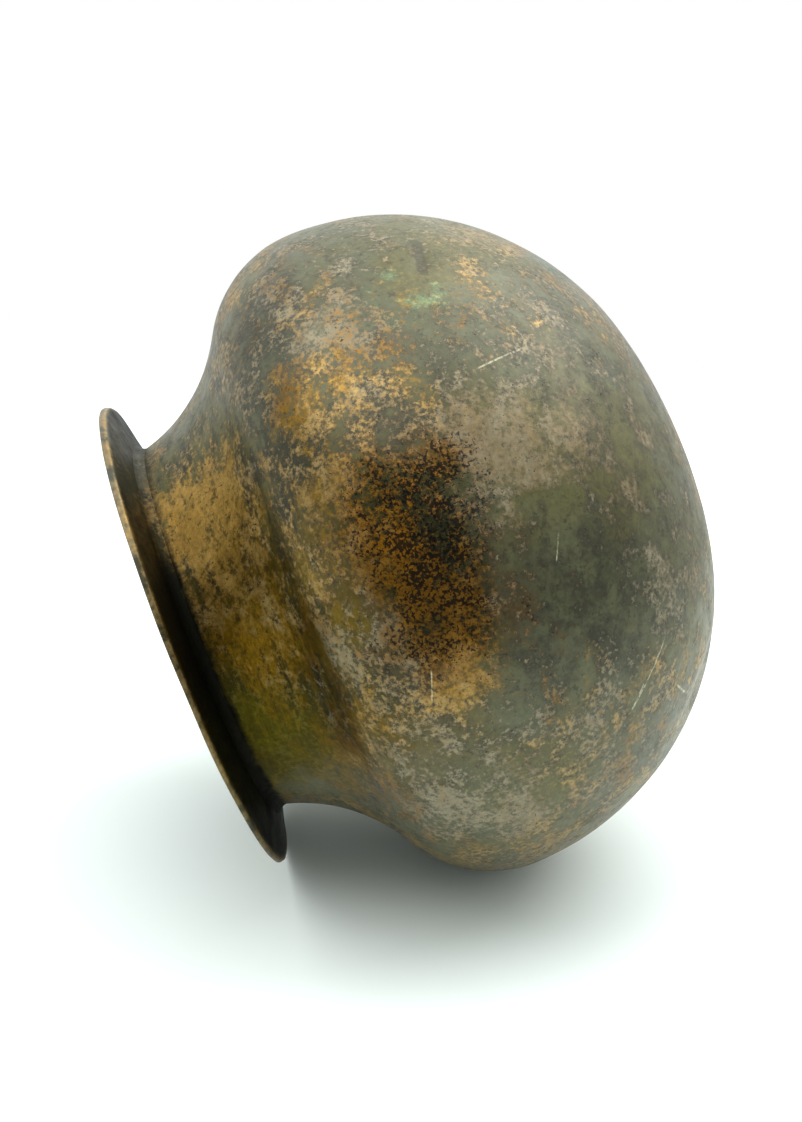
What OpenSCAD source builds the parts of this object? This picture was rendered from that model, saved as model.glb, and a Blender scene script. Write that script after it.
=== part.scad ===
// Round-bellied brass cooking pot with a narrow neck and a flat flared rim.
// Upright, mouth up: +Z is the axis of the pot, and z = 0 is the small flat it stands on.
// Four beaten brass shells, lapped over each other at three round seams.
// Each seam is closed by a run of brazing metal, dressed flush with the wall.

/* [Belly] */
// Outside diameter across the belly
belly_d = 240; // [220:1:260]
// Thickness of the beaten sheet
wall = 3; // [2.4:0.1:3.6]
// Radius of the worn flat that the pot stands on
foot_r = 22; // [14:1:30]
// Radius of the slow curve across the base
base_curve = 189; // [170:1:220]
// Radius of the curve up the side of the belly
side_curve = 99.6; // [92:0.1:104]

/* [Shoulder and neck] */
// Radius of the curve over the shoulder
shoulder_curve = 44.3; // [38:0.1:50]
// Angle the shoulder turns through before the neck begins
shoulder_turn = 60.2; // [56:0.1:64]
// Radius of the hollow curve of the neck
neck_curve = 62; // [55:0.5:68]
// Angle the neck turns back through, up to the rim
neck_turn = 47.4; // [44:0.1:50]

/* [Rim] */
// Outside diameter of the rim
rim_d = 174.8; // [165:0.1:186]
// Thickness of the rim at its edge
rim_edge = 2.95; // [2.4:0.05:4]
// Angle the rim rises from the throat to its edge
rim_rise = 11; // [4:0.5:16]
// Width of the worn corners along the rim's edge
rim_wear = 0.45; // [0.2:0.05:0.8]
// Diameter of the mouth
mouth_d = 131.2; // [129:0.1:133]

/* [Seams] */
// How far one shell laps over the next, along the wall
lap = 8; // [5:0.5:12]
// Width of the brazing run along each outside seam
braze_w = 2.2; // [1.2:0.1:3]
// Angle up the neck's curve where the collar starts
collar_start = 10.2; // [6:0.1:16]
// Thickness of the collar's lip inside the rim
lip = 1.3; // [1:0.1:1.5]
// How far the lip is beaten out over the rim
lip_spread = 1; // [0.6:0.1:1.4]
// Radius of the hollow brazed corner under the rim
corner_r = 5; // [3:0.1:6]

/* [Hidden] */
$fn = 240;
far = 400;
clear = 20;
belly_r = belly_d / 2;
rim_r = rim_d / 2;
mouth_r = mouth_d / 2;

function dir(a) = [cos(a), sin(a)];

// Centres of the four curves, each touching the next where their angles meet
base_c = [0, sqrt(pow(base_curve, 2) - pow(foot_r, 2))];
base_turn = asin((belly_r - side_curve) / (base_curve - side_curve));
side_c = base_c + (base_curve - side_curve) * dir(base_turn - 90);
shoulder_c = [belly_r - shoulder_curve, side_c[1]];
neck_c = shoulder_c + (shoulder_curve + neck_curve) * dir(shoulder_turn);
neck_a0 = 180 + shoulder_turn;
neck_a1 = neck_a0 - neck_turn;

// Inside of the flat foot, where the wall is beaten level
foot_top = base_c[1] - sqrt(pow(base_curve - wall, 2) - pow(foot_r, 2));

// Throat, where the underside of the rim leaves the neck
throat = neck_c + neck_curve * dir(neck_a1);
rim_slope = tan(rim_rise);
rim_under = throat[1] + (rim_r - throat[0]) * rim_slope;
rim_top = rim_under + rim_edge;
lip_r = mouth_r + lip;
lip_root = throat[1];
spread_r = lip_r + lip_spread;

function rim_face(r) = rim_top - (rim_r - r) * rim_slope;

// A seam is [middle of the wall, way up the wall, way out of the pot]
belly_seam = [[belly_r - wall / 2, side_c[1]], [0, 1], [1, 0]];
collar_a = neck_a0 - collar_start;
neck_seam = [neck_c + (neck_curve + wall / 2) * dir(collar_a), dir(collar_a - 90), -dir(collar_a)];

// Four corners of a lap: out to in, with the upper shell on the outside
function lap_line(s) = [
    s[0] - s[1] * lap / 2 + s[2] * far,
    s[0] - s[1] * lap / 2,
    s[0] + s[1] * lap / 2,
    s[0] + s[1] * lap / 2 - s[2] * far
];

// Stretch of wall between two angles, on a curve with its near side at radius r
// Neighbouring stretches are cut on the same line, so they meet with no gap
module band(c, r, a0, a1) {
    mid = r + wall / 2;
    intersection() {
        translate(c) difference() {
            circle(r = r + wall);
            circle(r = r);
        }
        polygon([
            c + (mid - clear) * dir(a0),
            c + (mid + clear) * dir(a0),
            c + (mid + 3 * clear) * dir((a0 + a1) / 2),
            c + (mid + clear) * dir(a1),
            c + (mid - clear) * dir(a1)
        ]);
    }
}

// Half section of the whole wall, from the foot to above the throat
module wall_section() {
    intersection() {
        union() {
            band(base_c, base_curve - wall, -90, base_turn - 90);
            band(side_c, side_curve - wall, base_turn - 90, 0);
            band(shoulder_c, shoulder_curve - wall, 0, shoulder_turn);
            band(neck_c, neck_curve, neck_a1 - 8, neck_a0);
            square([foot_r, foot_top]);
        }
        square([far, far]);
    }
}

// Everything further up the wall than a seam
module above(s) {
    p = lap_line(s);
    polygon(concat(p, [p[3] + far * s[1], p[0] + far * s[1]]));
}

// Everything further down the wall than a seam
module below(s) {
    p = lap_line(s);
    polygon(concat(p, [p[3] - far * s[1], p[0] - far * s[1]]));
}

// V groove along the outside of a seam, which the brazing fills
module groove(s) {
    foot = s[0] - s[1] * lap / 2;
    polygon([
        foot,
        foot + s[2] * wall - s[1] * braze_w,
        foot + s[2] * wall + s[1] * braze_w
    ]);
}

// Lower half of the pot, a deep round bowl with a flat foot
module base_bowl() {
    color([0.30, 0.27, 0.17])
    rotate_extrude() difference() {
        intersection() {
            wall_section();
            below(belly_seam);
        }
        groove(belly_seam);
    }
}

// Upper half of the belly, beaten in over the shoulder to the foot of the neck
module shoulder_shell() {
    color([0.36, 0.30, 0.18])
    rotate_extrude() difference() {
        intersection() {
            wall_section();
            above(belly_seam);
            below(neck_seam);
        }
        groove(belly_seam);
        groove(neck_seam);
    }
}

// Neck with its lip, which stands in the rim's hole and is beaten out over it
module neck_collar() {
    color([0.42, 0.32, 0.15])
    rotate_extrude() {
        difference() {
            intersection() {
                wall_section();
                above(neck_seam);
                translate([mouth_r, 0]) square([far, lip_root]);
            }
            groove(neck_seam);
        }
        polygon([
            [mouth_r, lip_root],
            [lip_r, lip_root],
            [lip_r, rim_face(lip_r) - lip_spread],
            [spread_r, rim_face(spread_r)],
            [mouth_r + rim_wear, rim_face(mouth_r + rim_wear)],
            [mouth_r, rim_face(mouth_r) - rim_wear]
        ]);
    }
}

// Flat ring that flares out from the throat
module rim_flange() {
    color([0.40, 0.34, 0.20])
    rotate_extrude() polygon([
        [lip_r, lip_root],
        throat,
        [rim_r - rim_wear, rim_under - rim_wear * rim_slope],
        [rim_r, rim_under + rim_wear],
        [rim_r, rim_top - rim_wear],
        [rim_r - rim_wear, rim_face(rim_r - rim_wear)],
        [spread_r, rim_face(spread_r)],
        [lip_r, rim_face(lip_r) - lip_spread]
    ]);
}

// Brazing run into the groove of a seam, dressed flush
module seam_braze(s) {
    rotate_extrude() intersection() {
        wall_section();
        groove(s);
    }
}

module belly_braze() {
    color([0.55, 0.45, 0.24])
    seam_braze(belly_seam);
}

module neck_braze() {
    color([0.55, 0.45, 0.24])
    seam_braze(neck_seam);
}

// Brazed corner between the neck and the underside of the rim, with a hollow face
module rim_braze() {
    sink = corner_r * 0.94;
    out = dir(rim_rise) * sink;
    down = -dir(neck_a1 - 90) * sink;
    color([0.33, 0.27, 0.14])
    rotate_extrude() difference() {
        intersection() {
            translate(neck_c) circle(r = neck_curve);
            polygon([throat, throat + out, throat + down]);
        }
        translate(throat + out + down) circle(r = corner_r);
    }
}

base_bowl();
shoulder_shell();
neck_collar();
rim_flange();
belly_braze();
neck_braze();
rim_braze();
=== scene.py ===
# %% [markdown]
# # An old brass cooking pot, lying on its side
# The pot is four beaten brass shells, lapped over each other and brazed.
# The packed model holds their true sizes, so every piece here starts from its section.
# The model stands upright, mouth up, and the floor is laid against its side instead.

# %% Load the frame
import math
import bmesh
import bpy
from mathutils import Matrix, Vector, noise


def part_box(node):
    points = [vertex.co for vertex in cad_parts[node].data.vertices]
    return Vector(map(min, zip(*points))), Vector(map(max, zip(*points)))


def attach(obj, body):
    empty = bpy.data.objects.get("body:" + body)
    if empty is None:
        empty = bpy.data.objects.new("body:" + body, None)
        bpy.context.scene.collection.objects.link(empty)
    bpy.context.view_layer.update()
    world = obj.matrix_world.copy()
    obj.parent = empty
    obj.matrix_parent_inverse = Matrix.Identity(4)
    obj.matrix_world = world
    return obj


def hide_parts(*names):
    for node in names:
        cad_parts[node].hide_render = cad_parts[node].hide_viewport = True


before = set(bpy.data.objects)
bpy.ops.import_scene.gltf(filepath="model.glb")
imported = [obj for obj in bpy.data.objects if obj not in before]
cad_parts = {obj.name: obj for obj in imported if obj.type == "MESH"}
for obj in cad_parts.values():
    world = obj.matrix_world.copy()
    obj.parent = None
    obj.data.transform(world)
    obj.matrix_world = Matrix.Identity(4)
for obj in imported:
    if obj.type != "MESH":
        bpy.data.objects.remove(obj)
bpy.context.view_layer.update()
MM = 0.001
print("pieces in the frame:", sorted(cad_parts))

# %% [markdown]
# ## How the pot lies
# A round pot on its side touches the floor twice, at the rim's edge and on the belly.
# The floor could be turned by hand until it looks right, but the two touching points give
# the tilt exactly, so it is found by halving a range until both are equally low.

# %% Find the tilt
def rings(*nodes):
    """Every ring of a round piece, as a radius and a height."""
    found = set()
    for name in nodes:
        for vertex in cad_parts[name].data.vertices:
            found.add((round(vertex.co.xy.length, 5), round(vertex.co.z, 5)))
    return sorted(found)


def lowest(ring_list, tilt):
    return min(-r * math.cos(tilt) - z * math.sin(tilt) for r, z in ring_list)


HALVINGS = 40
belly_rings = rings("base_bowl", "shoulder_shell")
rim_rings = rings("rim_flange")
low_tilt, high_tilt = math.radians(2), math.radians(60)
for _ in range(HALVINGS):
    tilt = (low_tilt + high_tilt) / 2
    if lowest(belly_rings, tilt) < lowest(rim_rings, tilt):
        low_tilt = tilt
    else:
        high_tilt = tilt
floor_level = lowest(rim_rings, tilt)
print("the pot leans mouth down by", round(math.degrees(tilt), 2), "degrees")

# %% Directions of the floor
FLOOR_TURN = math.radians(45)
WIDEST_ABOVE_SEAM = 3 * MM
pot_axis = Vector((0, 0, 1))
off_floor = Vector((math.sin(FLOOR_TURN), -math.cos(FLOOR_TURN), 0))
floor_up = off_floor * math.cos(tilt) - pot_axis * math.sin(tilt)
mouth_way = (pot_axis + floor_up * math.sin(tilt)) / math.cos(tilt)
near_side = floor_up.cross(mouth_way)
widest = Vector((0, 0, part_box("belly_braze")[1].z + WIDEST_ABOVE_SEAM))


def around(sideways, towards_mouth, up):
    return near_side * sideways + mouth_way * towards_mouth + floor_up * up


print("floor faces", [round(c, 3) for c in floor_up])

# %% [markdown]
# ## Camera
# The camera looks slightly down at the pot's side, from a little towards its mouth.
# A longish lens keeps the belly round. It is rolled a few degrees, as a hand-held one is.

# %% Aim the camera
CAMERA_RISE = math.radians(20)
CAMERA_TURN = math.radians(7.95)
CAMERA_ROLL = math.radians(3.17)
AIM_RIGHT, AIM_UP = -4.5 * MM, -4.6 * MM
away = around(
    -math.cos(CAMERA_RISE) * math.cos(CAMERA_TURN),
    -math.cos(CAMERA_RISE) * math.sin(CAMERA_TURN),
    -math.sin(CAMERA_RISE),
)
level_right = away.cross(floor_up).normalized()
level_up = level_right.cross(away)
right = level_right * math.cos(CAMERA_ROLL) + level_up * math.sin(CAMERA_ROLL)
up = level_up * math.cos(CAMERA_ROLL) - level_right * math.sin(CAMERA_ROLL)
aim = widest + right * AIM_RIGHT + up * AIM_UP
print("camera looks along", [round(c, 3) for c in away])

# %% Set up the camera
CAMERA_DISTANCE = 0.7898
SENSOR_WIDTH, LENS_LENGTH = 36, 70.6
scene = bpy.context.scene
lens = bpy.data.cameras.new("camera")
lens.sensor_width = SENSOR_WIDTH
lens.lens = LENS_LENGTH
camera = bpy.data.objects.new("camera", lens)
turn = Matrix((right, up, -away)).transposed().to_4x4()
camera.matrix_world = Matrix.Translation(aim - away * CAMERA_DISTANCE) @ turn
scene.collection.objects.link(camera)
scene.camera = camera
print("camera stands at", [round(c, 3) for c in camera.location])

# %% [markdown]
# ## Floor
# The pot lies on pale paper in a white tent. A big plane would show a horizon, so the floor
# is a disc that fades out towards its edge. It can only be seen from the pot's side, so it
# never hides the pot from behind.

# %% Lay the floor
FLOOR_RADIUS = 0.75
scene.view_settings.view_transform = "Standard"
floor_mesh = bmesh.new()
bmesh.ops.create_circle(floor_mesh, cap_ends=True, segments=96, radius=FLOOR_RADIUS)
floor_turn = Matrix((mouth_way, near_side, floor_up)).transposed().to_4x4()
floor_centre = widest - floor_up * (widest.dot(floor_up) - floor_level)
floor_place = Matrix.Translation(floor_centre) @ floor_turn
bmesh.ops.transform(floor_mesh, matrix=floor_place, verts=floor_mesh.verts)
floor_data = bpy.data.meshes.new("floor")
floor_mesh.to_mesh(floor_data)
floor_mesh.free()
floor = bpy.data.objects.new("floor", floor_data)
scene.collection.objects.link(floor)
drop = widest.dot(floor_up) - floor_level
print("floor lies", round(drop / MM, 1), "mm under the belly's middle")

# %% Paper for the floor
PAPER_WHITE = (0.88, 0.95, 0.94, 1)
FADE_START, FADE_END = FLOOR_RADIUS * 0.55, FLOOR_RADIUS * 0.98


def add(tree, kind, **values):
    node = tree.nodes.new(kind)
    for key, value in values.items():
        setattr(node, key, value)
    return node


def fade_floor(tree):
    link = tree.links.new
    place = add(tree, "ShaderNodeTexCoord")
    offset = add(tree, "ShaderNodeVectorMath", operation="DISTANCE")
    offset.inputs[1].default_value = floor_centre
    link(place.outputs["Object"], offset.inputs[0])
    edge = add(tree, "ShaderNodeMapRange", interpolation_type="SMOOTHSTEP")
    edge.inputs["From Min"].default_value = FADE_START
    edge.inputs["From Max"].default_value = FADE_END
    link(offset.outputs["Value"], edge.inputs["Value"])
    facing = add(tree, "ShaderNodeNewGeometry")
    hidden = add(tree, "ShaderNodeMath", operation="MAXIMUM")
    link(edge.outputs["Result"], hidden.inputs[0])
    link(facing.outputs["Backfacing"], hidden.inputs[1])
    white = add(tree, "ShaderNodeBsdfDiffuse")
    white.inputs["Color"].default_value = PAPER_WHITE
    clear = add(tree, "ShaderNodeBsdfTransparent")
    mix = add(tree, "ShaderNodeMixShader")
    link(hidden.outputs[0], mix.inputs["Fac"])
    link(white.outputs[0], mix.inputs[1])
    link(clear.outputs[0], mix.inputs[2])
    out = add(tree, "ShaderNodeOutputMaterial")
    link(mix.outputs[0], out.inputs["Surface"])


paper = bpy.data.materials.new("floor_paper")
paper.use_nodes = True
paper.node_tree.nodes.clear()
floor_data.materials.append(paper)
fade_floor(paper.node_tree)
print("the paper fades out between", round(FADE_START, 2), "and", round(FADE_END, 2), "m")

# %% [markdown]
# ## Light
# A tent lights a shiny thing softly from all sides, where bare lamps would leave hard spots.
# This tent is brightest above and beyond the pot and dim on the near side, so the pot's
# near side turns darker. Two broad lamps overhead add the soft highlight and the shadow.

# %% Put up the tent
TENT_NEAR, TENT_ABOVE, TENT_BEYOND = 0.28, 0.70, 0.8
TENT_COLOUR = (0.96, 1.0, 0.98, 1)


def glow(tree, sky, direction, start, strength):
    """A light that grows from nothing at start to its full strength straight ahead."""
    facing = add(tree, "ShaderNodeVectorMath", operation="DOT_PRODUCT")
    facing.inputs[1].default_value = direction
    tree.links.new(sky, facing.inputs[0])
    ramp = add(tree, "ShaderNodeMapRange", interpolation_type="SMOOTHSTEP")
    ramp.inputs["From Min"].default_value = start
    ramp.inputs["To Max"].default_value = strength
    tree.links.new(facing.outputs["Value"], ramp.inputs["Value"])
    return ramp.outputs["Result"]


def tent_strength(tree):
    sky = add(tree, "ShaderNodeTexCoord").outputs["Generated"]
    total = add(tree, "ShaderNodeMath", operation="ADD")
    tree.links.new(glow(tree, sky, floor_up, -0.2, TENT_ABOVE), total.inputs[0])
    tree.links.new(glow(tree, sky, -near_side, -0.5, TENT_BEYOND), total.inputs[1])
    strength = add(tree, "ShaderNodeMath", operation="ADD")
    strength.inputs[1].default_value = TENT_NEAR
    tree.links.new(total.outputs[0], strength.inputs[0])
    return strength.outputs[0]


def tent_world():
    """Plain white where the camera sees it, and the tent's own light for everything else."""
    surround = bpy.data.worlds.new("white_tent")
    surround.use_nodes = True
    tree = surround.node_tree
    tree.nodes.clear()
    link = tree.links.new
    tent = add(tree, "ShaderNodeBackground")
    tent.inputs["Color"].default_value = TENT_COLOUR
    link(tent_strength(tree), tent.inputs["Strength"])
    white = add(tree, "ShaderNodeBackground")
    white.inputs["Color"].default_value = (1, 1, 1, 1)
    ray = add(tree, "ShaderNodeLightPath")
    mix = add(tree, "ShaderNodeMixShader")
    link(ray.outputs["Is Camera Ray"], mix.inputs["Fac"])
    link(tent.outputs[0], mix.inputs[1])
    link(white.outputs[0], mix.inputs[2])
    out = add(tree, "ShaderNodeOutputWorld")
    link(mix.outputs[0], out.inputs["Surface"])
    return surround


scene.world = tent_world()
print("tent hung:", scene.world.name)

# %% Hang the lamps
def hang_lamp(name, place, size, watts, colour):
    lamp = bpy.data.lights.new(name, "AREA")
    lamp.shape = "DISK"
    lamp.size = size
    lamp.energy = watts
    lamp.color = colour
    lamp_object = bpy.data.objects.new(name, lamp)
    lamp_object.location = place
    lamp_object.rotation_mode = "QUATERNION"
    lamp_object.rotation_quaternion = (widest - place).to_track_quat("-Z", "Y")
    lamp_object.visible_camera = False
    scene.collection.objects.link(lamp_object)
    return lamp_object


hang_lamp("lamp_overhead", widest + around(0.10, 0.42, 0.92), 1.1, 6.2, (1, 0.99, 0.97))
hang_lamp("lamp_far_side", widest + around(-0.25, -0.6, 0.98), 1.2, 10.5, (1, 1, 0.98))

# %% [markdown]
# ## The true section of each piece
# Each packed piece is a turned solid, so one cut from its axis outwards holds its whole
# shape. A copy of the piece is cut in half through the axis, then down to the line on one
# side, and the line is walked point by point.

# %% Cut a section from a packed piece
WELD, ON_PLANE, SAME_POINT = 0.002 * MM, 0.0005 * MM, 0.01 * MM


def cut_section(node):
    work = bmesh.new()
    work.from_mesh(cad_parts[node].data)
    bmesh.ops.remove_doubles(work, verts=work.verts, dist=WELD)
    for across, only_the_cut in (((1, 0, 0), False), ((0, 1, 0), True)):
        bmesh.ops.bisect_plane(
            work, geom=work.verts[:] + work.edges[:] + work.faces[:], dist=ON_PLANE,
            plane_no=across, clear_inner=True, clear_outer=only_the_cut
        )
    bmesh.ops.remove_doubles(work, verts=work.verts, dist=SAME_POINT)
    return work


def walk_section(work):
    """The points of the cut in order, and whether they come back to the first."""
    ends = [v for v in work.verts if len(v.link_edges) == 1]
    start = min(ends or work.verts, key=lambda v: (v.co.z, v.co.x))
    line, before, here = [start], None, start
    while True:
        ahead = [e.other_vert(here) for e in here.link_edges]
        ahead = [v for v in ahead if v is not before]
        if not ahead or ahead[0] is start:
            break
        before, here = here, ahead[0]
        line.append(here)
    return [Vector((v.co.x, 0, v.co.z)) for v in line], not ends


sections = {}
for node in sorted(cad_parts):
    work = cut_section(node)
    sections[node] = walk_section(work)
    work.free()
    print(node, "section has", len(sections[node][0]), "points, closed:", sections[node][1])

# %% [markdown]
# ## The section drawn again
# The packed solid has long flat steps that would show on a polished curve. Subdividing them
# would keep the flats, so the line is drawn again with even steps: round stretches are
# curved through their own points, and real corners stay sharp.

# %% Find the stretches between corners
CORNER = math.radians(22)


def corner_angle(before, here, after):
    return (here - before).angle(after - here, 0)


def runs_between_corners(line, closed):
    count = len(line)
    inner = range(count) if closed else range(1, count - 1)
    corners = [
        i for i in inner
        if corner_angle(line[i - 1], line[i], line[(i + 1) % count]) > CORNER
    ]
    if closed:
        line = line[corners[0]:] + line[:corners[0] + 1]
        corners = [c - corners[0] for c in corners] + [count]
    else:
        corners = [0] + corners + [count - 1]
    return [line[a:b + 1] for a, b in zip(corners, corners[1:])]


print("stretches around the rim:", len(runs_between_corners(*sections["rim_flange"])))

# %% Curve each stretch through its points
def curve_through(run, step):
    drawn = [run[0]]
    for i in range(len(run) - 1):
        a, b = run[i], run[i + 1]
        reach = (b - a).length
        before = run[i - 1] if i else a - (b - a)
        after = run[i + 2] if i + 2 < len(run) else b + (b - a)
        leave = (b - before) * (reach / ((a - before).length + reach))
        arrive = (after - a) * (reach / ((after - b).length + reach))
        pieces = max(1, round(reach / step))
        for k in range(1, pieces + 1):
            t = k / pieces
            drawn.append(
                a * (2 * t**3 - 3 * t**2 + 1) + leave * (t**3 - 2 * t**2 + t)
                + b * (3 * t**2 - 2 * t**3) + arrive * (t**3 - t**2)
            )
    return drawn


def redraw(node, step):
    line, closed = sections[node]
    drawn = []
    for run in runs_between_corners(line, closed):
        drawn += curve_through(run, step)[:-1]
    return drawn if closed else drawn + [line[-1]]


print("base section redrawn with", len(redraw("base_bowl", 1.9 * MM)), "points")

# %% [markdown]
# ## How hand work and wear move the surface
# The brass was beaten, used and knocked, so its surface is nowhere a perfect turning.
# Sculpting by hand would not repeat, so one rule says how far each point sinks.
# It only ever pushes into the wall, so the pot keeps its greatest size, and both faces
# of a wall and both sides of a joint follow the same rule, so nothing comes apart.

# %% Where a point lies on the pot
SPREAD = 100 * MM
POLE_BLEND = 60 * MM
BELLY_MIDDLE = 100 * MM
SHOULDER_BLEND = 40 * MM


def on_pot(azimuth, height):
    """A compass direction around the mouth's axis in degrees, and a height in millimetres."""
    a = math.radians(azimuth)
    return Vector((math.sin(a) * SPREAD, -math.cos(a) * SPREAD, height * MM))


def flatten(point):
    """The same place on an even cylinder, so that a wall's two faces share their dents."""
    radius = max(point.xy.length, 1e-6)
    wide = SPREAD * min(1.0, radius / POLE_BLEND) / radius
    return Vector((point.x * wide, point.y * wide, point.z))


def ease(value):
    value = min(1.0, max(0.0, value))
    return value * value * (3 - 2 * value)


def way_in(point):
    rise = point.z - BELLY_MIDDLE
    if rise > 0:
        rise *= 1 - ease(rise / SHOULDER_BLEND)
    return -Vector((point.x, point.y, rise)).normalized()


print("into the wall at the foot:", way_in(Vector((0, 0, 0))))

# %% Knocks: dents, a gash and a body out of round
DENTS = [
    (on_pot(-92, 26), 17 * MM, 1.3 * MM), (on_pot(-60, 122), 20 * MM, 0.8 * MM),
    (on_pot(20, 118), 22 * MM, 0.7 * MM), (on_pot(70, 60), 26 * MM, 1.1 * MM),
    (on_pot(140, 95), 22 * MM, 0.9 * MM), (on_pot(-160, 45), 24 * MM, 1.0 * MM),
    (on_pot(-25, 60), 24 * MM, 0.5 * MM), (on_pot(170, 130), 18 * MM, 0.7 * MM),
]
OUT_OF_ROUND = 1.1 * MM
GASH, GASH_WAY = on_pot(26, 64), Vector((0.75, 0.45, -0.5)).normalized()
GASH_DEPTH, GASH_WIDTH, GASH_LENGTH = 0.7 * MM, 3.2 * MM, 10 * MM


def out_of_round(flat):
    slow = noise.noise(flat * 9) * 0.7 + noise.noise(flat * 22 + Vector((7, 3, 1))) * 0.3
    return (0.5 + slow) * OUT_OF_ROUND


def dented(flat):
    total = 0
    for place, size, depth in DENTS:
        total += depth * ease(1 - (flat - place).length / size)
    along = (flat - GASH).dot(GASH_WAY)
    across = ((flat - GASH) - GASH_WAY * along).length
    return total + GASH_DEPTH * ease(1 - across / GASH_WIDTH) * ease(1 - abs(along) / GASH_LENGTH)


print("deepest dent:", max(depth for _, _, depth in DENTS) / MM, "mm")

# %% Hammer marks, burnt lumps and tool rings
HAMMER_SPACING, HAMMER_DEPTH, SKIN_GRAIN = 15 * MM, 0.11 * MM, 0.035 * MM
CRUSTS, CRUST_SIZE, CRUST_DEPTH = (on_pot(-17, 98), on_pot(-33, 100)), 27 * MM, 0.22 * MM
NECK_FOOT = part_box("neck_braze")[0].z
RING_BAND, RING_PITCH, RING_DEPTH = 9 * MM, 2.7 * MM, 0.12 * MM


def beaten(point):
    nearest = noise.voronoi(point / HAMMER_SPACING)[0][0]
    fine = noise.noise(point * 240) * 0.5 + noise.noise(point * 520) * 0.3
    return HAMMER_DEPTH * ease(1 - nearest / 0.75) + SKIN_GRAIN * (fine + 0.6)


def crusted(point, flat):
    middle = min((flat - place).length for place in CRUSTS)
    patch = ease(1.5 - 1.5 * middle / CRUST_SIZE + noise.noise(point * 70) * 0.6)
    lumps = 0.5 + noise.noise(point * 330) * 0.6 + noise.noise(point * 170) * 0.4
    return patch * max(0, lumps) * CRUST_DEPTH


def ringed(point):
    """Shallow rings that a scraper left at the foot of the neck."""
    band = ease(1 - abs(point.z - NECK_FOOT + 0.5 * MM) / RING_BAND)
    if band == 0:
        return 0
    worn = ease(0.6 + noise.noise(Vector((point.x * 30, point.y * 30, point.z * 300))) * 1.4)
    wander = point.z + noise.noise(point * 25) * 1.2 * MM
    return band * worn * (0.5 + 0.5 * math.sin(wander / RING_PITCH * math.tau)) * RING_DEPTH


print("tool rings lie around", round(NECK_FOOT / MM, 1), "mm up")

# %% The worn rim
RIM_EDGE, _, RIM_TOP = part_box("rim_flange")[1]
RIM_THICKNESS, RIM_SLOPE = 3 * MM, math.tan(math.radians(11))
RIM_THINNED, RIM_WAVES, ARRIS_DRAWN_IN = 1.2 * MM, 0.35 * MM, 0.008


def rim_worn(point):
    """The rim is beaten thinner on its lower side, and its back arris is drawn in."""
    near_edge = ease((point.xy.length - RIM_EDGE + 17 * MM) / (16 * MM))
    reach = near_edge * ease((point.z - RIM_TOP + 8 * MM) / (3 * MM))
    if reach == 0:
        return Vector((0, 0, 0))
    low_side = ease(0.8 - 1.2 * point.normalized().dot(off_floor))
    waves = 0.5 + noise.noise(Vector((point.x * 28, point.y * 28, 3.7)))
    back = ease((RIM_TOP - point.z - 1 * MM) / (2 * MM))
    drawn_in = point.xy.length * ARRIS_DRAWN_IN * back * (0.4 + 0.6 * waves)
    sideways = Vector((point.x, point.y, 0)).normalized() * -drawn_in
    top_here = RIM_TOP - (RIM_EDGE - point.xy.length) * RIM_SLOPE
    backwards = min(1.0, max(0.0, (top_here - point.z) / RIM_THICKNESS))
    lifted = RIM_THINNED * low_side * backwards - RIM_WAVES * waves
    return (sideways + Vector((0, 0, lifted))) * reach


print("the rim's edge is", round(RIM_EDGE / MM, 1), "mm from the axis")

# %% The whole rule
def sunk(point, outside):
    flat = flatten(point)
    depth = out_of_round(flat) + dented(flat)
    if outside:
        depth += beaten(point) + crusted(point, flat) + ringed(point)
    return point + way_in(point) * depth + rim_worn(point)


side = Vector((0.12, 0, 0.1))
print("a point at the belly's side sinks", round((side - sunk(side, True)).x / MM, 2), "mm")

# %% [markdown]
# ## Turning the shells
# A lathe is the natural tool for a round pot, and spin is the lathe of mesh work.
# The redrawn section is laid down as a chain of edges and spun a full turn.
# Merging closes the seam where the turn meets itself, and the poles of the base.

# %% Spin a section into a closed shell
TURN_STEPS = 420
SEAM_MERGE = 0.004 * MM


def spin_section(line, closed):
    work = bmesh.new()
    chain = [work.verts.new(p) for p in line]
    edges = [work.edges.new(pair) for pair in zip(chain, chain[1:])]
    if closed:
        edges.append(work.edges.new((chain[-1], chain[0])))
    bmesh.ops.spin(
        work, geom=chain + edges, axis=(0, 0, 1), angle=math.tau, steps=TURN_STEPS,
        use_merge=True
    )
    bmesh.ops.remove_doubles(work, verts=work.verts, dist=SEAM_MERGE)
    bmesh.ops.recalc_face_normals(work, faces=work.faces)
    print("open edges left after the turn:", sum(e.is_boundary for e in work.edges))
    return work


print("a full turn has", TURN_STEPS, "steps")

# %% Tell the outside from the inside
CREASE = math.radians(38)


def faces_outside(face):
    return face.normal.dot(way_in(face.calc_center_median())) < 0.02


def make_piece(name, work, materials):
    data = bpy.data.meshes.new(name)
    work.to_mesh(data)
    work.free()
    data.shade_smooth()
    data.set_sharp_from_angle(angle=CREASE)
    for material in materials:
        data.materials.append(material)
    piece = bpy.data.objects.new(name, data)
    scene.collection.objects.link(piece)
    return piece


print("edges sharper than", round(math.degrees(CREASE)), "degrees stay crisp")
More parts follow.
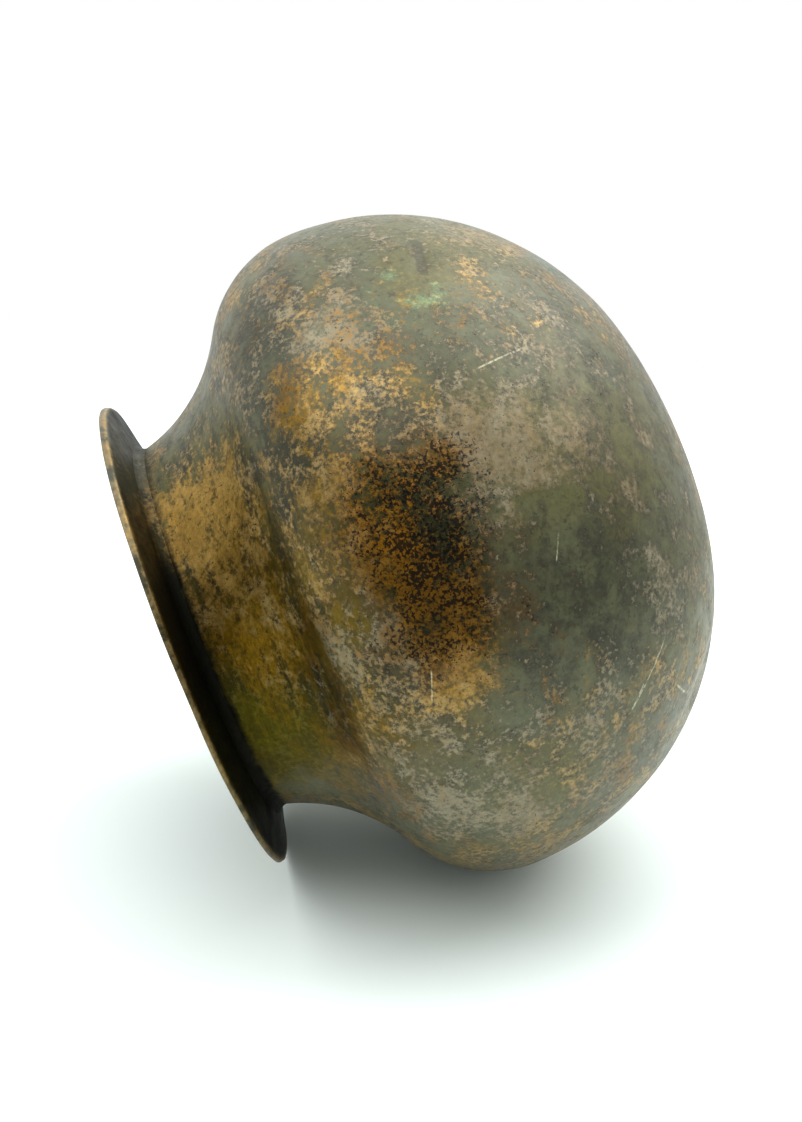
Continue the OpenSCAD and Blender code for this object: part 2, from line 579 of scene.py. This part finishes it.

# %% [markdown]
# ## Old brass
# Brass that has cooked over a fire wears a thin coat: grey-olive oxide, dusty tan where
# hands rub it, gold-brown where the coat is thin, and a burnt crust where fat has baked on.
# Painting it would need an image. Here noises of several sizes choose between the coats,
# and a few placed patches lean that choice, so the coat is the same across every joint.
# A few patches paint light and shade too: a sheen on the shoulder, light on the neck,
# shade in the corner under the rim, and less gold on the side that faces the lamps.

# %% Short names for shader steps
class Coat:
    """One material's node tree, with short names for the steps that are used many times."""

    def __init__(self, name):
        self.material = bpy.data.materials.new(name)
        self.material.use_nodes = True
        self.tree = self.material.node_tree
        self.tree.nodes.clear()
        self.place = self.make("ShaderNodeTexCoord").outputs["Object"]

    def make(self, kind, **values):
        return add(self.tree, kind, **values)

    def put(self, socket, value):
        if hasattr(value, "links"):
            self.tree.links.new(value, socket)
        else:
            socket.default_value = value

    def math(self, operation, *values):
        """One sum after another, from the first value to the last."""
        result = values[0]
        for value in values[1:]:
            node = self.make("ShaderNodeMath", operation=operation)
            self.put(node.inputs[0], result)
            self.put(node.inputs[1], value)
            result = node.outputs[0]
        return result

    def plus(self, *values):
        return self.math("ADD", *values)

    def times(self, *values):
        return self.math("MULTIPLY", *values)

    def most(self, *values):
        return self.math("MAXIMUM", *values)

    def size_of(self, value):
        node = self.make("ShaderNodeMath", operation="ABSOLUTE")
        self.put(node.inputs[0], value)
        return node.outputs[0]

    def step(self, value, low, high, bottom=0.0, top=1.0):
        """A soft step: bottom below low, top above high."""
        node = self.make("ShaderNodeMapRange", interpolation_type="SMOOTHSTEP")
        names = ("Value", "From Min", "From Max", "To Min", "To Max")
        for key, number in zip(names, (value, low, high, bottom, top)):
            self.put(node.inputs[key], number)
        return node.outputs["Result"]

    def blend(self, factor, first, second, mode="MIX"):
        node = self.make("ShaderNodeMix", data_type="RGBA", blend_type=mode)
        self.put(node.inputs["Factor"], factor)
        self.put(node.inputs[6], first)
        self.put(node.inputs[7], second)
        return node.outputs[2]

    def vector(self, operation, output, *values):
        node = self.make("ShaderNodeVectorMath", operation=operation)
        for socket, value in zip(node.inputs, values):
            self.put(socket, value)
        return node.outputs[output]

    def squeezed(self, scale):
        node = self.make("ShaderNodeMapping")
        self.put(node.inputs["Vector"], self.place)
        self.put(node.inputs["Scale"], scale)
        return node.outputs[0]


print("steps a coat can take:", [name for name in vars(Coat) if name[0] != "_"])

# %% Colours as a paint chart gives them
def srgb(red, green, blue):
    """Made linear for the shader."""
    chart = (red, green, blue)
    return (*[((c / 255 + 0.055) / 1.055) ** 2.4 if c > 10 else c / 3295 for c in chart], 1)


WHITE = (1, 1, 1, 1)
print("half grey is", round(srgb(128, 128, 128)[0], 3), "to the shader")

# %% Places on the skin
SHELL_NODES = ("base_bowl", "shoulder_shell", "neck_collar")
outside_line = sorted((p.z, p.x) for node in SHELL_NODES for p in sections[node][0])


def skin_point(azimuth, height):
    """The place on the outside at this azimuth in degrees and height in millimetres."""
    radius = max(x for z, x in outside_line if abs(z - height * MM) < 7 * MM)
    a = math.radians(azimuth)
    return Vector((math.sin(a) * radius, -math.cos(a) * radius, height * MM))


def height_of(c):
    parts = c.make("ShaderNodeSeparateXYZ")
    c.put(parts.inputs[0], c.place)
    return parts.outputs["Z"]


def radius_of(c):
    return c.vector("LENGTH", "Value", c.vector("MULTIPLY", "Vector", c.place, (1, 1, 0)))


print("the skin at the belly is at", [round(c, 3) for c in skin_point(0, 100)])

# %% [markdown]
# ## The noises under every coat
# A patina has big clouds, middle-sized blotches, spots and specks at once. One noise with
# many octaves looks like smoke, so each size is its own noise, and every coat mixes them.
# Patches are measured from a place that wanders, which makes their edges ragged.

# %% Noise, and patches with ragged edges
WANDER_SIZE, WANDER_REACH = 20 * MM, 45 * MM


def grain(c, size, detail, rough, twist=0.0, place=None, shift=0.0):
    """Noise whose biggest lumps are about this many millimetres, from 0 to 1."""
    node = c.make("ShaderNodeTexNoise", noise_dimensions="4D" if shift else "3D")
    c.put(node.inputs["Vector"], place or c.place)
    c.put(node.inputs["Scale"], 1 / (size * MM))
    c.put(node.inputs["Detail"], detail)
    c.put(node.inputs["Roughness"], rough)
    c.put(node.inputs["Distortion"], twist)
    if shift:
        c.put(node.inputs["W"], shift)
    return node.outputs["Fac"]


def wandering_place(c):
    wander = c.make("ShaderNodeTexNoise")
    c.put(wander.inputs["Vector"], c.place)
    c.put(wander.inputs["Scale"], 1 / WANDER_SIZE)
    c.put(wander.inputs["Detail"], 5)
    c.put(wander.inputs["Roughness"], 0.65)
    centred = c.vector("SUBTRACT", "Vector", wander.outputs["Color"], (0.5, 0.5, 0.5))
    return c.vector("MULTIPLY_ADD", "Vector", centred, (WANDER_REACH,) * 3, c.place)


def patch(c, azimuth, height, size, soft):
    """1 at a place on the pot, falling to 0 at this many millimetres from it."""
    offset = c.vector("DISTANCE", "Value", c.wandering, skin_point(azimuth, height))
    return c.step(offset, size * MM * (1 - soft), size * MM, 1.0, 0.0)


print("patch edges wander by up to", round(WANDER_REACH / 2 / MM, 1), "mm")

# %% Clouds, blotches, spots and specks
def lay_noises(c):
    """Blotches run further around the pot than up it, and streaks run around the neck."""
    c.wandering = wandering_place(c)
    c.around_pot = c.squeezed((1, 1, 1.6))
    c.big = grain(c, 46, 3, 0.55, 0.4)
    c.blotch = grain(c, 24, 5, 0.62, 0.3, c.around_pot, 1.3)
    c.spots = grain(c, 8, 5, 0.66, 0.3, shift=2.1)
    c.speck = grain(c, 1.7, 3, 0.75, shift=0.7)
    c.dots = grain(c, 1.1, 2, 0.6, shift=4.4)
    streaks = c.plus(grain(c, 15, 4, 0.62, 0.0, c.squeezed((1, 1, 6)), 3.3), -0.5)
    c.streaks = c.times(streaks, c.step(height_of(c), 118 * MM, 142 * MM))
    smooth_base = c.plus(1.0, c.times(patch(c, -30, 20, 88, 0.8), -0.5))
    c.dust = c.times(c.plus(c.speck, -0.5), smooth_base)


def both(c, first, second, share):
    return c.plus(c.times(first, 1 - share), c.times(second, share))


def lean(c, value, dustiness, places):
    """A noise pushed up or down at places: azimuth, height, size and how hard."""
    total = c.plus(value, c.times(c.dust, dustiness))
    for azimuth, height, size, push in places:
        total = c.plus(total, c.times(patch(c, azimuth, height, size, 0.9), push))
    return total


print("five sizes of noise, from 46 mm clouds down to 1 mm dots")

# %% [markdown]
# ## Oxide film
# The film is what air and smoke leave on brass: olive where it is thin, slate where it is
# thick, warm on the neck, and clouded with soot. It covers everything, so it goes first.

# %% Lay the oxide film
OLIVE, SLATE, SOOT = srgb(98, 94, 50), srgb(93, 94, 64), srgb(47, 45, 26)
WARM_FILM = srgb(108, 86, 12)
SLATE_PLACES = ((40, 60, 60, -0.1), (15, 120, 34, 0.1))
SOOT_PLACES = (
    (5, 118, 50, 0.04), (-38, 62, 66, 0.01), (-28, 106, 44, 0.07), (-58, 168, 46, 0.06),
    (-5, 130, 30, 0.10), (25, 125, 30, 0.08), (-45, 118, 30, 0.07), (0, 95, 36, 0.03),
    (36, 60, 50, -0.03),
)


def oxide_film(c):
    film = c.blend(c.step(lean(c, c.big, 0.3, SLATE_PLACES), 0.38, 0.6), OLIVE, SLATE)
    film = c.blend(c.times(patch(c, -36, 148, 78, 0.7), 0.95), film, WARM_FILM)
    cloud = lean(c, both(c, c.blotch, c.spots, 0.58), 0.45, SOOT_PLACES)
    cloud = c.plus(cloud, c.times(c.streaks, 0.5))
    return c.blend(c.step(cloud, 0.42, 0.58, 0, 0.92), film, SOOT)


print("soot is pushed at", len(SOOT_PLACES), "places")

# %% [markdown]
# ## Tan and gold
# Hands rub dust into the film, and where cooking or scouring wore it away the metal shows
# gold-brown. Both could be masks painted by hand. A noise with a soft threshold gives the
# same ragged islands, and a push at a place makes them grow or shrink there. Two pushes of
# tan on the shoulder are a painted sheen, the brightest gold on the neck is painted light,
# and one push takes gold off the side facing the lamps as painted shade.

# %% Rub in the tan, and paint a sheen
TAN, DUST_AND_SHEEN = srgb(136, 116, 78), srgb(154, 144, 116)
# The pushes at (12, 99) and (1, 101) are a painted sheen, the lamp's whitish highlight; the rest
# are rubbed dust.
RUBBED_AND_SHEEN_PLACES = (
    (-14, 62, 36, 0.12), (-72, 100, 50, 0.09), (12, 99, 20, 0.12), (1, 101, 14, 0.10),
    (-34, 128, 20, 0.10), (-52, 128, 22, 0.08), (42, 40, 50, 0.06), (-2, 170, 12, 0.05),
    (120, 90, 60, 0.08), (-160, 60, 50, 0.08), (-42, 58, 44, -0.08), (-75, 30, 50, 0.03),
)


def rub_tan_and_paint_sheen(c, colour):
    # This mask is rubbed dust, and at two pushes a painted sheen.
    rubbed = lean(c, both(c, c.blotch, c.spots, 0.45), 0.6, RUBBED_AND_SHEEN_PLACES)
    tan = c.blend(c.step(both(c, c.big, c.spots, 0.5), 0.42, 0.6), TAN, DUST_AND_SHEEN)
    return c.blend(c.step(rubbed, 0.49, 0.64, 0, 0.85), colour, tan)


print("tan is pushed at", len(RUBBED_AND_SHEEN_PLACES), "places")

# %% Thin the film to gold, and paint light on the neck
GOLD, AMBER, RUST = srgb(168, 139, 84), srgb(146, 108, 14), srgb(110, 72, 3)
PAINTED_LIGHT_GOLD = srgb(202, 160, 78)
# The push of -0.09 at (38, 72) takes gold off the side facing the lamps: painted shade, darker
# there.
GOLD_AND_SHADE_PLACES = (
    (2, 163, 34, 0.20), (-28, 158, 36, 0.15), (-64, 152, 34, 0.10), (4, 108, 30, 0.08),
    (-28, 98, 36, 0.11), (-14, 122, 30, 0.06), (18, 126, 28, -0.05), (-45, 104, 18, 0.12),
    (-34, 126, 18, -0.07), (38, 72, 50, -0.09), (-60, 125, 30, -0.05), (100, 140, 60, 0.10),
    (-150, 110, 50, 0.10), (170, 160, 60, 0.10), (-25, 35, 84, -0.22), (30, 150, 40, -0.06),
    (-66, 100, 44, -0.12), (25, 90, 30, -0.04),
)


def thin_to_gold_and_paint_neck_light(c, colour):
    ragged = grain(c, 18, 6, 0.66, 0.5, c.around_pot, 5.2)
    thin = lean(c, both(c, ragged, c.spots, 0.4), 0.65, GOLD_AND_SHADE_PLACES)
    c.gold = c.step(c.plus(thin, c.times(c.streaks, -0.4)), 0.46, 0.66, 0, 0.95)
    paler = lean(c, c.spots, 0.3, ((-50, 158, 60, -0.10),))
    metal = c.blend(c.step(paler, 0.40, 0.62), AMBER, GOLD)
    redder = lean(c, c.big, 0, ((-45, 150, 44, 0.12),))
    metal = c.blend(c.step(redder, 0.46, 0.62, 0, 0.7), metal, RUST)
    # The brighter gold on the upper neck is painted light, a lit copy of the gold.
    metal = c.blend(c.times(patch(c, 2, 163, 42, 0.8), 0.8), metal, PAINTED_LIGHT_GOLD)
    return c.blend(c.gold, colour, metal)


print("gold is pushed at", len(GOLD_AND_SHADE_PLACES), "places")

# %% [markdown]
# ## Burnt crust
# On one side fat has run down and baked hard: brown and amber lumps with black pits. It is
# two overlapping patches, like the lumps in the mesh, so colour and shape stay together.

# %% Bake the crust
BURNT, BAKED = srgb(12, 11, 7), srgb(134, 86, 0)
BAKED_PLACES = ((-26, 104, 26, 0.09), (-42, 104, 16, 0.08), (-22, 84, 22, -0.10))


def bake_crust(c, colour):
    node = c.make("ShaderNodeMath", operation="ADD", use_clamp=True)
    c.put(node.inputs[0], patch(c, -19, 97, 34, 0.85))
    c.put(node.inputs[1], patch(c, -34, 100, 34, 0.85))
    c.crust = node.outputs[0]
    baked = c.step(lean(c, c.spots, 0.7, BAKED_PLACES), 0.38, 0.56)
    fat = c.blend(c.step(c.big, 0.42, 0.56), BAKED, RUST)
    scorched = c.blend(c.step(c.speck, 0.35, 0.55), BURNT, SOOT)
    colour = c.blend(c.times(c.crust, 0.88), colour, c.blend(baked, scorched, fat))
    pitted = c.plus(both(c, c.dots, c.spots, 0.4), c.times(c.crust, 0.09))
    pitted = c.plus(pitted, c.times(patch(c, -20, 88, 40, 0.9), 0.05))
    c.pits = c.step(pitted, 0.60, 0.65)
    return c.blend(c.times(c.pits, 0.9), colour, BURNT)


print("crust is pushed at", len(BAKED_PLACES), "places")

# %% [markdown]
# ## Small marks
# Damp leaves green on the lower neck and a few spots of verdigris, and knocks leave
# scratches. A scratch could be cut into the mesh, but it is finer than the mesh's steps, so
# it is a thin line over the skin: the plane through two points and the pot's middle.

# %% Flecks and greens
MOSS, VERDIGRIS, TEAL = srgb(110, 100, 8), srgb(122, 148, 104), srgb(76, 104, 94)


def flecks_and_greens(c, colour):
    flecks = lean(c, grain(c, 3.2, 3, 0.75, shift=8.8), 0.3, ((-5, 160, 50, 0.03),))
    colour = c.blend(c.step(flecks, 0.55, 0.66, 0, 0.7), colour, SOOT)
    moss = c.times(patch(c, -64, 172, 46, 0.85), c.step(c.spots, 0.36, 0.6, 0.45, 0.85))
    colour = c.blend(moss, colour, MOSS)
    green = c.times(patch(c, 16, 71, 17, 0.8), c.step(c.spots, 0.42, 0.6), 0.8)
    colour = c.blend(green, colour, VERDIGRIS)
    return c.blend(c.times(patch(c, 41, 17, 12, 0.7), 0.7), colour, TEAL)


print("green coats:", [[round(v, 2) for v in green[:3]] for green in (MOSS, VERDIGRIS, TEAL)])

# %% Scratches
SCORE_PALE = srgb(196, 190, 160)
SCRATCHES = (
    ((0, 60), (3, 44), 0.7), ((-34, 59), (-30, 55), 0.5), ((-68, 53), (-61, 33), 0.7),
    ((-68, 53), (-65, 45), 0.6), ((-47, 112), (-42, 108.5), 0.5), ((-82, 31), (-75, 33), 0.8),
    ((60, 90), (66, 70), 0.6), ((130, 120), (138, 108), 0.6), ((-140, 80), (-128, 70), 0.7),
)


def scratch(c, start, end, width):
    """1 along a line over the skin between two places, given as azimuth and height."""
    a, b = skin_point(*start), skin_point(*end)
    middle = Vector((0, 0, BELLY_MIDDLE))
    across = (a - middle).cross(b - middle).normalized()
    along = (b - a) / (b - a).length_squared
    off_line = c.plus(c.vector("DOT_PRODUCT", "Value", c.place, across), -across.dot(middle))
    way = c.plus(c.vector("DOT_PRODUCT", "Value", c.place, along), -along.dot((a + b) / 2))
    line = c.step(c.size_of(off_line), width * MM * 0.3, width * MM * 0.6, 1.0, 0.0)
    same_side = c.vector("DOT_PRODUCT", "Value", c.place, (a + b).normalized())
    ends = c.step(c.size_of(way), 0.38, 0.55, 1.0, 0.0)
    return c.times(line, c.step(same_side, 0, 20 * MM), ends)


def score(c, colour):
    scored = 0.0
    for start, end, width in SCRATCHES:
        scored = c.most(scored, scratch(c, start, end, width))
    scored = c.times(scored, c.step(c.speck, 0.35, 0.6), 0.7)
    return c.blend(scored, colour, SCORE_PALE)


print("scratches:", len(SCRATCHES))

# %% [markdown]
# ## Rim and lining
# Grime fills the corner under the rim, where no cloth reaches, while the rim's back arris
# is rubbed bright. The corner's near-black is partly painted shade, where the rim keeps the
# light out. The inside keeps the same patina under a duller lining.

# %% Grime and painted shade in the corner under the rim
GRIME_AND_SHADE = srgb(13, 13, 4)


def fill_corner_with_grime_and_shade(c, colour):
    # Near-black in the corner under the rim: grime, and painted shade where the rim keeps light
    # out.
    lowest_grime = c.plus(height_of(c), c.times(c.spots, 6 * MM))
    corner = c.step(lowest_grime, 176.5 * MM, 179.5 * MM)
    grime = c.times(corner, c.step(radius_of(c), 84 * MM, 87.2 * MM, 1.0, 0.0))
    # The corner is less dark at one place, with less grime and less painted shade.
    lighter_patch = c.plus(1.0, c.times(patch(c, 30, 172, 50, 0.9), -0.45))
    c.grime = c.times(grime, lighter_patch)
    return c.blend(c.grime, colour, GRIME_AND_SHADE)


print("grime starts about", 176.5 - 3, "mm up")

# %% The rim's edge
def wear_rim_edge(c, colour):
    height = height_of(c)
    near_edge = c.step(radius_of(c), RIM_EDGE - 1.6 * MM, RIM_EDGE - 1.0 * MM)
    edge = c.times(near_edge, c.step(height, 175 * MM, 176 * MM))
    arris = c.step(height, RIM_TOP - 2.4 * MM, RIM_TOP - 1.4 * MM, 1.0, 0.0)
    edge_colour = c.blend(c.step(c.spots, 0.38, 0.56), SOOT, TAN)
    bright = c.times(arris, c.step(c.spots, 0.34, 0.5))
    edge_colour = c.blend(bright, edge_colour, GOLD)
    return c.blend(c.times(edge, 0.85), colour, edge_colour)


print("the arris is bright below", round((RIM_TOP - 1.4 * MM) / MM, 1), "mm")

# %% The lining
LINING_DARK, LINING_PALE = srgb(74, 70, 56), srgb(124, 116, 98)


def line_inside(c, colour):
    lining = c.blend(c.step(c.blotch, 0.4, 0.6), LINING_DARK, LINING_PALE)
    return c.blend(0.55, colour, lining)


print("lining:", [[round(v, 2) for v in tone[:3]] for tone in (LINING_DARK, LINING_PALE)])

# %% [markdown]
# ## Gloss and relief
# Bare gold reflects like metal, while the film is dull like paint, so how metallic and how
# rough the surface is follow the same masks as the colour. The film's own thickness is far
# too small for the mesh, so it is a bump.

# %% How metallic and how rough
def metal_of(c):
    warm = c.most(c.times(c.gold, 0.6), c.crust, patch(c, -38, 158, 78, 0.7))
    return c.step(c.most(warm, c.grime), 0.0, 0.95, 0.24, 0.88)


def rough_of(c):
    rough = c.step(c.plus(c.spots, c.times(c.gold, -0.1)), 0.3, 0.7, 0.35, 0.54)
    return c.plus(rough, c.times(c.most(c.crust, c.grime), 0.14))


print("metal from 0.24 to 0.88, roughness from 0.35 to 0.54 and more on the crust")

# %% Relief of the film
FILM_THICKNESS, FILM_STRENGTH = 0.3 * MM, 0.45


def film_relief(c):
    height = c.plus(c.times(c.dots, 0.3), c.times(c.spots, 0.6), c.times(c.pits, -0.8))
    height = c.plus(height, c.times(c.speck, 0.5), c.streaks)
    bump = c.make("ShaderNodeBump")
    c.put(bump.inputs["Strength"], FILM_STRENGTH)
    c.put(bump.inputs["Distance"], FILM_THICKNESS)
    c.put(bump.inputs["Height"], height)
    return bump.outputs[0]


print("the film is up to", FILM_THICKNESS / MM, "mm thick")

# %% Put the coats together
SHADE_OF_GRAIN = (0.62, 0.62, 0.62, 1)


def build_patina(name, inside=False):
    c = Coat(name)
    lay_noises(c)
    colour = thin_to_gold_and_paint_neck_light(c, rub_tan_and_paint_sheen(c, oxide_film(c)))
    colour = flecks_and_greens(c, bake_crust(c, colour))
    gash = c.times(scratch(c, (22, 64), (34, 62), 4), 0.6)
    colour = c.blend(gash, colour, SOOT)
    c.grime = 0.0
    if not inside:
        colour = fill_corner_with_grime_and_shade(c, colour)
    colour = wear_rim_edge(c, colour)
    shade = c.blend(c.step(c.speck, 0.3, 0.7), SHADE_OF_GRAIN, WHITE)
    colour = score(c, c.blend(1.0, colour, shade, "MULTIPLY"))
    if inside:
        colour = line_inside(c, colour)
    shader = c.make("ShaderNodeBsdfPrincipled")
    c.put(shader.inputs["Base Color"], colour)
    c.put(shader.inputs["Metallic"], metal_of(c))
    c.put(shader.inputs["Roughness"], rough_of(c))
    c.put(shader.inputs["Normal"], film_relief(c))
    out = c.make("ShaderNodeOutputMaterial")
    c.put(out.inputs["Surface"], shader.outputs[0])
    print(name, "has", len(c.tree.nodes), "nodes")
    return c.material


outside_brass = build_patina("old_brass_outside")
inside_brass = build_patina("old_brass_inside", inside=True)

# %% [markdown]
# ## The pieces
# Each shell and each brazing run is turned, sunk by the rule above and coated. The smaller
# the piece's curves, the finer its steps, so that the hollow corners stay round.

# %% Turn all seven pieces
PIECES = (
    ("base_bowl", 1.9 * MM, "base_brass"),
    ("shoulder_shell", 1.5 * MM, "shoulder_brass"),
    ("neck_collar", 0.9 * MM, "neck_brass"),
    ("rim_flange", 0.7 * MM, "rim_brass"),
    ("belly_braze", 0.6 * MM, "brazing_metal"),
    ("neck_braze", 0.6 * MM, "brazing_metal"),
    ("rim_braze", 0.6 * MM, "brazing_metal"),
)


def shell(node, step):
    line, closed = redraw(node, step), sections[node][1]
    work = spin_section(line, closed)
    for face in work.faces:
        face.material_index = 0 if faces_outside(face) else 1
    for vertex in work.verts:
        outside = any(f.material_index == 0 for f in vertex.link_faces)
        vertex.co = sunk(vertex.co.copy(), outside)
    piece = make_piece(node + "_beaten", work, [outside_brass, inside_brass])
    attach(piece, "root")
    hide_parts(node)
    print(piece.name, "has", len(piece.data.polygons), "faces")


for node, step, slot in PIECES:
    shell(node, step)
